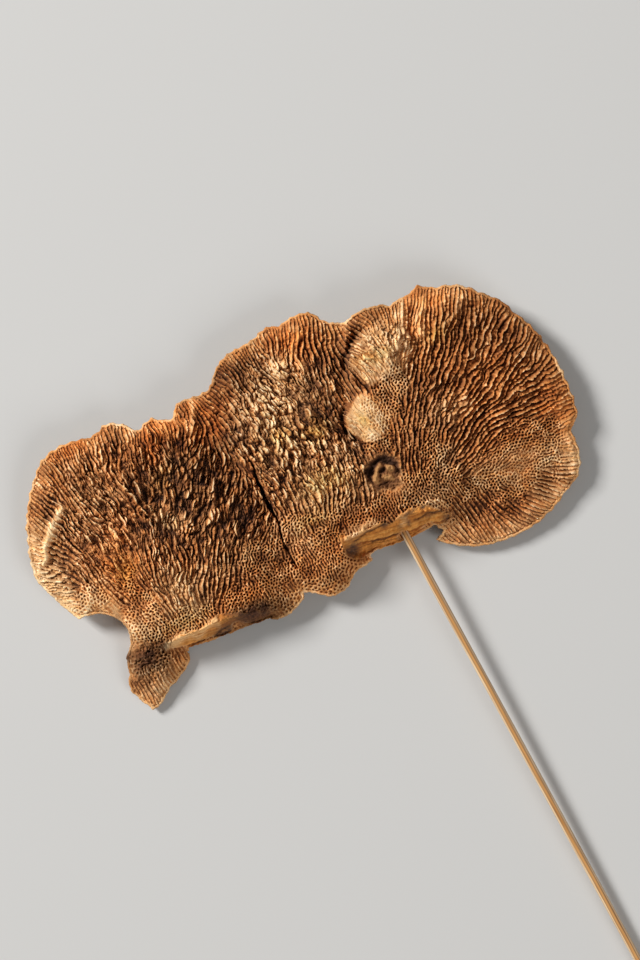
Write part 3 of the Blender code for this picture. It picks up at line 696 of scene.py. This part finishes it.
def chip_rise(bent):
    """Short chips: each has its own height, the more at its far edge from the light, and a gap round
    it, widest on that side. Through the shade this is a painted highlight at the far edge and
    painted shadow beyond.
    """
    chip, tilt = bent("chip"), bent("chip_tilt")
    # Painted shadow: the gap is widest on the chip's far side from the light.
    gap = (1 - ease(0.02, 0.24 + 0.12 * tilt, bent("chip_edge"))) * (0.2 + 0.8 * tilt)
    scale = 0.31 + 0.22 * chip + (0.15 + 0.3 * chip) * ease(0.55, 1.0, tilt)
    # A painted highlight on the far edge of some chips.
    scale += 0.4 * ease(0.76, 0.84, chip) * ease(0.3, 0.7, tilt)
    return scale * (1 - gap)


def flake_rise(bent):
    """Tall torn flakes, higher towards their far side from the light, which through the shade is
    also painted light there.
    """
    splinter = ease(0.06, 0.34, bent("torn_edge")) * (0.55 + 0.6 * bent("torn"))
    return splinter * (0.66 + 0.4 * bent("torn_tilt"))


def plate_rise(at, bent, flake):
    """How far each point has risen from the floor of the gaps, 0, to the plates' edges, 1."""
    pores, broken, chip = at("pores"), at("broken"), bent("chip")
    chopped = (0.35 + 0.65 * broken) * (1 - pores)
    crest = 1.05 - 0.25 * pores - 0.4 * chopped * ease(0.2, 0.7, chip)
    rise = bent("plate") * crest
    scaly = ease(0.42, 0.58, broken + 0.5 * (chip - 0.5)) * ease(0.5, 0.2, pores)
    rise = towards(rise, chip_rise(bent), scaly)
    rise = towards(rise, np.maximum(flake_rise(bent), 0.55 * rise), flake)
    rough = (0.05 + 0.16 * chopped) * np.tanh(at("ragged")) + 0.08 * at("fine")
    rise = rise + (rise > 0.2) * rough
    return towards(rise, 0.75 + 0.1 * at("tone"), ease(0.8, 0.1, at("inside")))


def gap_depth(at, plain):
    """How deep the gaps lie below the plates' edges, in mm."""
    depth = PLATE_DEPTH + (PORE_DEPTH - PLATE_DEPTH) * at("pores")
    depth = depth * (1 - 0.6 * at("shallow")) * (0.35 + 0.65 * ease(0, 12, at("inside")))
    depth = depth * (1 - 0.35 * at("knob"))
    depth = depth * (1 - 0.3 * np.clip(at("fold"), 0, 2))
    depth = np.minimum(depth, 0.5 * (at("top") - at("back")))
    return depth * (1 - plain) * (1 - 0.7 * at("crust"))


def shade_of(at, rise, depth):
    """How light the flesh is, from the gaps, 0, to the plates' edges, 1. Much of it is painted
    shade: the deeper a gap or the crack, the darker.
    """
    shallow, broken, bundle = at("shallow"), at("broken"), np.tanh(at("bundle"))
    # Painted shade: the deeper a gap, the darker its floor.
    shade = 1 - (1 - rise) * np.clip(depth / 2.6, 0, 1) ** 0.6
    shade = shade + (0.72 - shade) * 0.75 * ease(0.45, 0.95, shallow)
    # Darker on broken patches, and painted shade down the crack, the deeper the darker.
    shade = shade - 0.06 * broken * (1 - bundle) - 0.5 * ease(0.5, 4, at("crack"))
    shade = shade + 0.25 * broken * (shade - 0.5)
    return shade + 0.16 * at("fold") + 0.1 * at("folded") * bundle + 0.1 * at("pale")


def relief(fungus, x, y):
    """The gill face at each point: its height in mm, its shade, and its sideways lean in mm."""
    at = fungus.reader(x, y)
    pores, broken, inside, fine = at("pores"), at("broken"), at("inside"), at("fine")
    bent = fungus.reader(x + at("bend_x") + 0.08 * fine, y + at("bend_y") + 0.08 * fine)
    torn = bent("torn")
    flake = ease(0.2, 0.7, at("splintered") + 0.3 * (torn - 0.5)) * (torn > 0.3)
    rise = plate_rise(at, bent, flake)
    plain = np.clip(ease(0.3, 0.6, at("scar")) + at("knot") + at("wall"), 0, 1)
    free = (1 - plain) * ease(0, 6, inside)
    depth = gap_depth(at, plain)

    bundle, ragged = np.tanh(at("bundle")), np.tanh(at("ragged"))
    height = at("top") + CREST * (1 - plain) * ease(0, 3, inside) - depth * (1 - rise)
    height += free * (0.35 * at("lumps") + (0.2 + 0.4 * broken) * bundle * (1 - pores))
    height += free * 0.6 * at("crust") * fine
    height += np.maximum(free, at("scar")) * at("fold") * (1 - 0.3 * pores)
    height += free * flake * 0.9 * (torn - 0.4) - CREST * at("knob")
    height += at("knot") * 0.35 * fine - at("drop") - at("crack") - GROOVE_DEPTH * at("groove")
    layers = 0.2 * fine + 0.4 * at("lumps") + 0.5 * at("faded") * (1 + ragged)
    height += at("scar") * (layers - 0.5 * at("cut_crack"))

    lean = LEAN * (1 - pores) * (1 - 0.5 * at("shallow")) * (0.7 + 0.6 * at("folded")) * free
    lean = lean * (rise - 0.3) * (1 + 0.5 * at("tone"))
    return height, shade_of(at, rise, depth), at("far_x") * lean, at("far_y") * lean


# ---- meshes ----

def outward(fungus, x, y):
    """The direction out over the outline."""
    small = 0.3
    slope_x = sample(fungus.cover, x + small, y) - sample(fungus.cover, x - small, y)
    slope_y = sample(fungus.cover, x, y + small) - sample(fungus.cover, x, y - small)
    length = np.maximum(np.hypot(slope_x, slope_y), 1e-6)
    return -slope_x / length, -slope_y / length, length / (2 * small)


def cut_sheet(fungus, low, high, cell, level, rim_rows):
    """A flat sheet cut to the outline, with rows of rim whose number is their height."""
    middle = Vector(((low + high) / 2, (NEAR + FAR) / 2, 0))
    spread = Matrix.Diagonal((high - low, FAR - NEAR, 1, 1))
    mesh = bmesh.new()
    bmesh.ops.create_grid(
        mesh, x_segments=round((high - low) / cell), y_segments=round((FAR - NEAR) / cell),
        size=0.5, matrix=Matrix.Translation(middle) @ spread,
    )
    centres = np.array([face.calc_center_median()[:2] for face in mesh.faces])
    kept = sample(fungus.cover, centres[:, 0], centres[:, 1]) > level
    outside = [face for face, keep in zip(mesh.faces, kept) if not keep]
    bmesh.ops.delete(mesh, geom=outside, context="FACES")
    edges = [
        edge for edge in mesh.edges
        if edge.is_boundary and not all(on_cut(vert, low, high) for vert in edge.verts)
    ]
    snap(fungus, {vert for edge in edges for vert in edge.verts}, level)
    for row in range(1, rim_rows + 1):
        made = bmesh.ops.extrude_edge_only(mesh, edges=edges)["geom"]
        new = {item for item in made if isinstance(item, bmesh.types.BMVert)}
        for vert in new:
            vert.co.z = row
        edges = [
            item for item in made
            if isinstance(item, bmesh.types.BMEdge) and all(vert in new for vert in item.verts)
        ]
    mesh.verts.index_update()
    mesh.faces.sort(key=last_corners)
    return mesh


def last_corners(face):
    """A number that puts faces in the order of their points, because extruding lists them in any."""
    lower, upper = sorted(vert.index for vert in face.verts)[-2:]
    return upper * 1e6 + lower


def on_cut(vert, low, high):
    return min(abs(vert.co.x - low), abs(vert.co.x - high)) < 1e-3


def snap(fungus, verts, level):
    """Moves the sheet's edge from its steps onto the outline."""
    verts = list(verts)
    places = np.array([vert.co[:2] for vert in verts])
    x, y = places[:, 0], places[:, 1]
    for turn in range(3):
        out_x, out_y, slope = outward(fungus, x, y)
        step = np.clip((sample(fungus.cover, x, y) - level) / np.maximum(slope, 0.2), -0.2, 0.2)
        x, y = x + out_x * step, y + out_y * step
    for vert, at_x, at_y in zip(verts, x, y):
        vert.co.x, vert.co.y = at_x, at_y


def new_object(name, data):
    obj = bpy.data.objects.new(name, data)
    bpy.context.scene.collection.objects.link(obj)
    return obj


def mesh_object(name, mesh, material):
    data = bpy.data.meshes.new(name)
    mesh.to_mesh(data)
    mesh.free()
    data.materials.append(material)
    return new_object(name, data)


def fungus_piece(name, mesh, material):
    """A mesh as a piece that rides with the fungus."""
    obj = mesh_object(name, mesh, material)
    obj.data.shade_smooth()
    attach(obj, "root")
    return obj


def points_of(data):
    points = np.empty(len(data.vertices) * 3, np.float32)
    data.vertices.foreach_get("co", points)
    return points.reshape(-1, 3).astype(float)


def set_points(data, points):
    """Moves the mesh to these points, in mm."""
    placed = points * MM + np.array(ENTRY)
    data.vertices.foreach_set("co", placed.astype(np.float32).ravel())
    data.update()


def set_values(data, **values):
    for name, value in values.items():
        attribute = data.attributes.new(name, "FLOAT", "POINT")
        attribute.data.foreach_set("value", value.astype(np.float32))


def gill_sheet(fungus, name, low, high, material):
    """One stretch of the gill face, with its thin rim."""
    mesh = cut_sheet(fungus, low, high, GILL_CELL, 0.5, len(RIM_OUT) - 1)
    obj = fungus_piece(name, mesh, material)
    flat = points_of(obj.data)
    x, y, row = flat[:, 0], flat[:, 1], np.round(flat[:, 2]).astype(int)
    out_x, out_y, _ = outward(fungus, x, y)
    lay_out(obj.data, x + MAP_ROW * row * out_x, y + MAP_ROW * row * out_y, low, high)
    height, shade, lean_x, lean_y = relief(fungus, x, y)
    drop = np.array(RIM_DROP)[row]
    back = sample(fungus.back, x - UNDER_LIP * out_x, y - UNDER_LIP * out_y)
    wobble = 0.1 * sample(fungus.ragged, x + 3 * drop, y + 5 * drop) * (row > 0)
    inset = RIM_INSET * ease(2.5, 0, sample(fungus.inside, x, y))
    over = np.array(RIM_OUT)[row] + wobble - inset
    x, y = x + lean_x + out_x * over, y + lean_y + out_y * over
    z = np.minimum(height * (1 - drop) + (back + 0.1) * drop, TOP)
    set_points(obj.data, np.column_stack([x, y, z]))
    at = fungus.reader(x, y)
    across, up = scar_place(x, y, height)
    # rise carries the shade: painted shade in the gaps, and cream edges that are partly painted
    # highlight.
    set_values(
        obj.data, rise=shade, skin=ease(0, 3, row), hue=7.3 * at("chip") % 1,
        across=across, up=up, **{name: at(name) for name in MARKS},
    )
    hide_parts("fungus")


def scar_place(x, y, height):
    """Places on the nearer cut root, along it and up it from its middle, in mm."""
    right, left = [on_scar(*scar[:2], x, y, height) for scar in SCARS]
    return [np.where(x > BETWEEN_SCARS, right[k], left[k]) for k in (0, 1)]


def lay_out(data, x, y, low, high):
    """The flat sheet's own places as the map through which its colours can be baked."""
    side = max(high - low + 2 * MAP_MARGIN, FAR - NEAR)
    places = np.column_stack([x - low + MAP_MARGIN, y - NEAR]) / side
    corners = np.empty(len(data.loops), np.int32)
    data.loops.foreach_get("vertex_index", corners)
    layer = data.uv_layers.new(name="OFBake")
    layer.data.foreach_set("uv", places[corners].astype(np.float32).ravel())


def cap(fungus, material):
    """The underside, with low growth ledges that follow the margin."""
    mesh = cut_sheet(fungus, LEFT, RIGHT, CAP_CELL, 0.8, 0)
    bmesh.ops.reverse_faces(mesh, faces=mesh.faces[:])
    obj = fungus_piece("cap", mesh, material)
    points = points_of(obj.data)
    x, y = points[:, 0], points[:, 1]
    out_x, out_y, _ = outward(fungus, x, y)
    at = fungus.reader(x, y)
    back, grown = at("back"), at("grown")
    inset = CAP_INSET * ease(2.5, 0, at("inside"))
    ledge = 0.35 * np.sin(0.42 * grown + 1.6 * np.sin(0.13 * grown)) + 0.12 * np.sin(1.3 * grown)
    z = np.maximum(back + ledge * ease(0, 3, back), 0)
    set_points(obj.data, np.column_stack([x - out_x * inset, y - out_y * inset, z]))
    set_values(obj.data, grown=grown)
    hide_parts("fungus")


# ---- materials ----

class Nodes:
    """A material's node tree, built a node at a time."""

    def __init__(self, name, roughness):
        self.material = bpy.data.materials.new(name)
        self.material.use_nodes = True
        self.tree = self.material.node_tree
        self.shader = self.tree.nodes["Principled BSDF"]
        self.shader.inputs["Roughness"].default_value = roughness
        self.shader.inputs["Specular IOR Level"].default_value = 0.25

    def put(self, socket, value):
        """Links or sets a socket. A name is one of the mesh's own values. Colours are opaque."""
        if isinstance(value, str):
            value = self.add("Attribute", {}, attribute_name=value).outputs["Fac"]
        if isinstance(value, bpy.types.NodeSocket):
            self.tree.links.new(value, socket)
        elif socket.type == "RGBA":
            socket.default_value = (*value, 1)
        else:
            socket.default_value = value

    def add(self, kind, inputs, **settings):
        """A node with these settings and with its inputs set or linked."""
        node = self.tree.nodes.new("ShaderNode" + kind)
        for key, value in settings.items():
            setattr(node, key, value)
        for key, value in inputs.items():
            self.put(node.inputs[key], value)
        return node

    def place(self):
        return self.add("TexCoord", {}).outputs["Object"]

    def math(self, operation, *values):
        return self.add("Math", dict(enumerate(values)), operation=operation).outputs[0]

    def times(self, first, second):
        return self.math("MULTIPLY", first, second)

    def plus(self, first, second, factor):
        """The first value and so many times the second."""
        return self.math("ADD", first, self.times(second, factor))

    def mix(self, share, first, second, blend="MIX"):
        inputs = {0: share, 6: first, 7: second}
        return self.add("Mix", inputs, data_type="RGBA", blend_type=blend).outputs[2]

    def tint(self, share, colour, by):
        return self.mix(share, colour, by, "MULTIPLY")

    def ramp(self, share, stops):
        """Colours between stops: place, red, green, blue."""
        node = self.add("ValToRGB", {"Fac": share})
        elements = node.color_ramp.elements
        while len(elements) < len(stops):
            elements.new(0.5)
        for element, (place, *colour) in zip(elements, stops):
            element.position = place
            element.color = (*colour, 1)
        return node.outputs["Color"]

    def noise(self, scale, stretch=(1, 1, 1), detail=4.0):
        """Noise with about scale features a millimetre."""
        mapping = self.add("Mapping", {"Vector": self.place(), "Scale": stretch})
        return self.add("TexNoise", {
            "Vector": mapping.outputs["Vector"], "Scale": scale / MM, "Detail": detail,
            "Roughness": 0.6,
        }).outputs["Fac"]

    def hills(self, scale, detail=4.0):
        """The same noise, about 0."""
        return self.math("SUBTRACT", self.noise(scale, detail=detail), 0.5)

    def line_noise(self, place, scale, seed=0):
        """Noise along one number, with about scale features to each unit of it."""
        return self.add("TexNoise", {
            "W": self.math("ADD", place, seed * 10), "Scale": scale, "Detail": 3.0,
        }, noise_dimensions="1D").outputs["Fac"]

    def chips(self, scale):
        """A random number on each torn patch, with about scale patches a millimetre."""
        where = self.place()
        rough = self.add("TexNoise", {"Vector": where, "Scale": 0.8 / MM}).outputs["Color"]
        shift = self.add("VectorMath", {0: rough, "Scale": 1.6 * MM}, operation="SCALE")
        moved = self.add("VectorMath", {0: where, 1: shift.outputs[0]}, operation="ADD")
        cells = self.add("TexVoronoi", {"Vector": moved.outputs[0], "Scale": scale / MM})
        return self.add("SeparateColor", {0: cells.outputs["Color"]}).outputs[0]

    def finish(self, colour, height=0.0, depth=0.0):
        """Sets the shader's colour and its bump, this deep in mm, and gives the material."""
        self.put(self.shader.inputs["Base Color"], colour)
        if depth:
            bump = self.add("Bump", {"Height": height, "Distance": depth * MM, "Strength": 1.0})
            self.put(self.shader.inputs["Normal"], bump.outputs["Normal"])
        return self.material


def gill_material():
    """Brown flesh, pale at the plates' edges, with its patches, marks and cut roots. Its shade is
    painted: near black on the gaps' floors, up to cream edges that are partly the flesh's own and
    partly painted highlight.
    """
    nodes = Nodes("gill_flesh", 0.85)
    patch = nodes.hills(0.22, detail=2.0)
    rise = nodes.plus("rise", nodes.hills(1.6), 0.4)
    rise = nodes.times(nodes.plus(rise, patch, 0.25), 0.9)
    # Painted shade from the gaps' floors, near black, up to cream edges that are partly painted
    # highlight.
    brown = nodes.ramp(rise, [
        (0.0, 0.04, 0.017, 0.01), (0.25, 0.15, 0.058, 0.024), (0.48, 0.37, 0.152, 0.053),
        (0.66, 0.58, 0.265, 0.095), (0.8, 0.76, 0.43, 0.185), (0.93, 0.96, 0.73, 0.48),
    ])
    cream = nodes.ramp(rise, [
        (0.0, 0.12, 0.05, 0.022), (0.25, 0.37, 0.18, 0.075), (0.5, 0.66, 0.4, 0.2),
        (0.72, 0.83, 0.6, 0.36), (0.95, 0.94, 0.78, 0.54),
    ])
    colour = nodes.mix(nodes.plus("pale", patch, 0.6), brown, cream)
    colour = nodes.tint(nodes.times("warm", 0.85), colour, (1.12, 0.76, 0.42))
    orange = nodes.ramp("hue", [(0.3, 1.08, 0.84, 0.5), (0.42, 1, 1, 1)])
    colour = nodes.tint(0.5, colour, orange)
    colour = nodes.tint(1.0, colour, nodes.ramp(nodes.chips(0.42), [
        (0.0, 0.7, 0.59, 0.48), (0.3, 0.9, 0.78, 0.64), (0.55, 1.0, 0.9, 0.75),
        (0.8, 1.10, 1.01, 0.89), (1.0, 1.25, 1.20, 1.14),
    ]))
    # Painted shade on the shaded patches and in the knobs' groove.
    colour = nodes.tint(nodes.times("dark", 0.7), colour, (0.42, 0.36, 0.33))
    colour = nodes.tint(nodes.times("yellow", 0.8), colour, (0.92, 0.98, 0.4))
    bare = nodes.ramp(nodes.noise(0.5, (1, 1, 3)), [
        (0.3, 0.3, 0.13, 0.05), (0.5, 0.46, 0.24, 0.1), (0.7, 0.6, 0.38, 0.19),
    ])
    smooth = nodes.math("MAXIMUM", "skin", "wall")
    colour = nodes.mix(smooth, colour, bare)
    colour = nodes.mix("scar", colour, cut_colour(nodes))
    colour = nodes.mix("crust", colour, crust_colour(nodes, rise))
    colour = nodes.mix("knot", colour, knot_colour(nodes))
    return nodes.finish(colour, nodes.noise(2.5), 0.15)


def crust_colour(nodes, rise):
    """Dry dark crust with pale specks, darkened further by the painted shade of the gaps."""
    return nodes.ramp(nodes.plus(nodes.noise(0.9), rise, 0.25), [
        (0.5, 0.022, 0.007, 0.003), (0.68, 0.06, 0.019, 0.007), (0.85, 0.17, 0.062, 0.024),
    ])


def cut_colour(nodes):
    """Flesh cut along its layers: ochre with dark lines, worn patches, stains and cracks."""
    drift = nodes.times(nodes.noise(0.08, detail=3.0), 7.0)
    layer = nodes.math("ADD", "up", nodes.plus(drift, "across", 0.06))
    colour = nodes.ramp(nodes.line_noise(layer, 0.42), [
        (0.3, 0.36, 0.11, 0.02), (0.42, 0.62, 0.23, 0.042), (0.55, 0.8, 0.34, 0.07),
        (0.7, 0.88, 0.46, 0.13),
    ])
    lines = nodes.line_noise(layer, 0.9, seed=4)
    lines = nodes.ramp(lines, [(0.3, 0.22, 0.12, 0.06), (0.36, 1, 1, 1)])
    colour = nodes.tint(0.6, colour, lines)
    blotch = nodes.ramp(nodes.noise(0.3), [(0.42, 0.78, 0.68, 0.58), (0.6, 1.12, 1.06, 0.98)])
    colour = nodes.tint(1.0, colour, blotch)
    for mark, scale, seed, dim, full, worn in (
        ("faded", 1.3, 7, (0.42, 0.2, 0.2, 0.2), (0.6, 1, 1, 1), (0.88, 0.5, 0.21)),
        ("fold", 1.1, 9, (0.4, 0.1, 0.1, 0.1), (0.58, 1, 1, 1), (0.95, 0.56, 0.24)),
    ):
        layered = nodes.ramp(nodes.line_noise(layer, scale, seed), [dim, full])
        colour = nodes.mix(nodes.times(mark, layered), colour, worn)
    mottle = nodes.times(nodes.noise(0.7), 2.0)
    colour = nodes.mix(nodes.times("stain", mottle), colour, (0.11, 0.055, 0.033))
    return nodes.mix("cut_crack", colour, (0.05, 0.02, 0.01))


def knot_colour(nodes):
    """A broken twig: rough grey-brown wood in a pit, with painted shade darkening the pit the deeper
    it goes.
    """
    down = nodes.math("DIVIDE", "drop", PIT_DEPTH)
    return nodes.ramp(nodes.plus(down, nodes.hills(0.9), 0.7), [
        (0.0, 0.48, 0.24, 0.085), (0.2, 0.28, 0.115, 0.038), (0.45, 0.13, 0.048, 0.018),
        (0.9, 0.045, 0.017, 0.007),
    ])


def cap_material():
    """Felted skin in uneven growth bands, pale by the margin."""
    nodes = Nodes("cap_skin", 0.9)
    shade = nodes.plus(nodes.line_noise("grown", 0.13), nodes.hills(0.07), 0.7)
    shade = nodes.plus(shade, nodes.hills(0.9, detail=5.0), 0.35)
    skin = nodes.ramp(shade, [
        (0.25, 0.13, 0.07, 0.038), (0.42, 0.26, 0.155, 0.085), (0.55, 0.38, 0.25, 0.15),
        (0.75, 0.5, 0.375, 0.25),
    ])
    young = nodes.math("SUBTRACT", 1.0, nodes.math("DIVIDE", "grown", 12.0))
    young = nodes.math("MAXIMUM", nodes.times(young, 0.7), 0.0)
    return nodes.finish(nodes.mix(young, skin, (0.62, 0.43, 0.24)), nodes.noise(1.2), 0.3)


def stick_material():
    """Split wood: an orange stripe between cream edges, with thin dark grain. The cream edges are
    painted highlight along the stick's sides, a little lighter on the left.
    """
    nodes = Nodes("stick_wood", 0.6)
    axes = nodes.add("SeparateXYZ", {0: nodes.place()})
    off = nodes.math("SUBTRACT", axes.outputs["X"], ENTRY.x)
    off = nodes.math("DIVIDE", off, STICK_RADIUS * MM)
    off = nodes.plus(off, nodes.hills(0.02, detail=2.0), 0.5)
    # Painted highlight: cream along both sides of the stick, lighter on the left, the lamp's side.
    stripe = nodes.ramp(nodes.math("MULTIPLY_ADD", off, 0.5, 0.5), [
        (0.0, 0.72, 0.5, 0.28), (0.16, 0.82, 0.62, 0.38), (0.27, 0.32, 0.14, 0.05),
        (0.36, 0.6, 0.3, 0.1), (0.58, 0.64, 0.34, 0.12), (0.68, 0.3, 0.13, 0.05),
        (0.8, 0.8, 0.58, 0.35), (1.0, 0.62, 0.42, 0.24),
    ])
    grain = nodes.noise(1.6, (1, 0.02, 1), 5)
    shade = nodes.ramp(grain, [(0.3, 0.62, 0.52, 0.44), (0.55, 1, 1, 1)])
    return nodes.finish(nodes.tint(1.0, stripe, shade), grain, 0.15)


# ---- studio ----

# The photograph: where its middle looks and how tall it is, both in mm, and how it is turned.
VIEW_CENTRE, VIEW_HEIGHT, VIEW_TURN = (-20.6, 36.7, 12.0), 403.2, -28.7
LENS, SENSOR = 100.0, 36.0
FLOOR_SIZE = 8.0


def camera():
    data = bpy.data.cameras.new("camera")
    data.lens, data.sensor_width = LENS, SENSOR
    obj = new_object("camera", data)
    away = VIEW_HEIGHT * LENS / SENSOR
    obj.location = Vector(VIEW_CENTRE) * MM + ENTRY + Vector((0, 0, away * MM))
    obj.rotation_euler = (0, 0, math.radians(VIEW_TURN))
    bpy.context.scene.camera = obj


def floor():
    mesh = bmesh.new()
    bmesh.ops.create_grid(mesh, x_segments=1, y_segments=1, size=FLOOR_SIZE)
    paper = Nodes("floor_paper", 0.9).finish((0.62, 0.61, 0.59))
    mesh_object("floor", mesh, paper)


def lamp(name, place, size, power):
    """A square lamp that faces the fungus."""
    data = bpy.data.lights.new(name, "AREA")
    data.size, data.energy = size, power
    obj = new_object(name, data)
    obj.location = place
    obj.rotation_euler = Vector(place).to_track_quat("Z", "Y").to_euler()
    obj.visible_camera = False


def studio():
    camera()
    floor()
    world = bpy.data.worlds.new("studio")
    world.use_nodes = True
    background = world.node_tree.nodes["Background"]
    background.inputs["Color"].default_value = (1, 1, 1, 1)
    background.inputs["Strength"].default_value = 0.16
    bpy.context.scene.world = world
    lamp("key", (-1.86, 2.85, 2.16), 1.1, 193)
    lamp("fill", (1.05, -3.0, 2.25), 2.4, 58)
    bpy.context.scene.view_settings.view_transform = "Standard"


def main():
    studio()
    fungus = Fungus()
    gills = gill_material()
    low = LEFT
    for name, high in STRETCHES:
        gill_sheet(fungus, name, low, high, gills)
        low = high
    cap(fungus, cap_material())
    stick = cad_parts["stick"]
    stick.data.materials.clear()
    stick.data.materials.append(stick_material())


main()
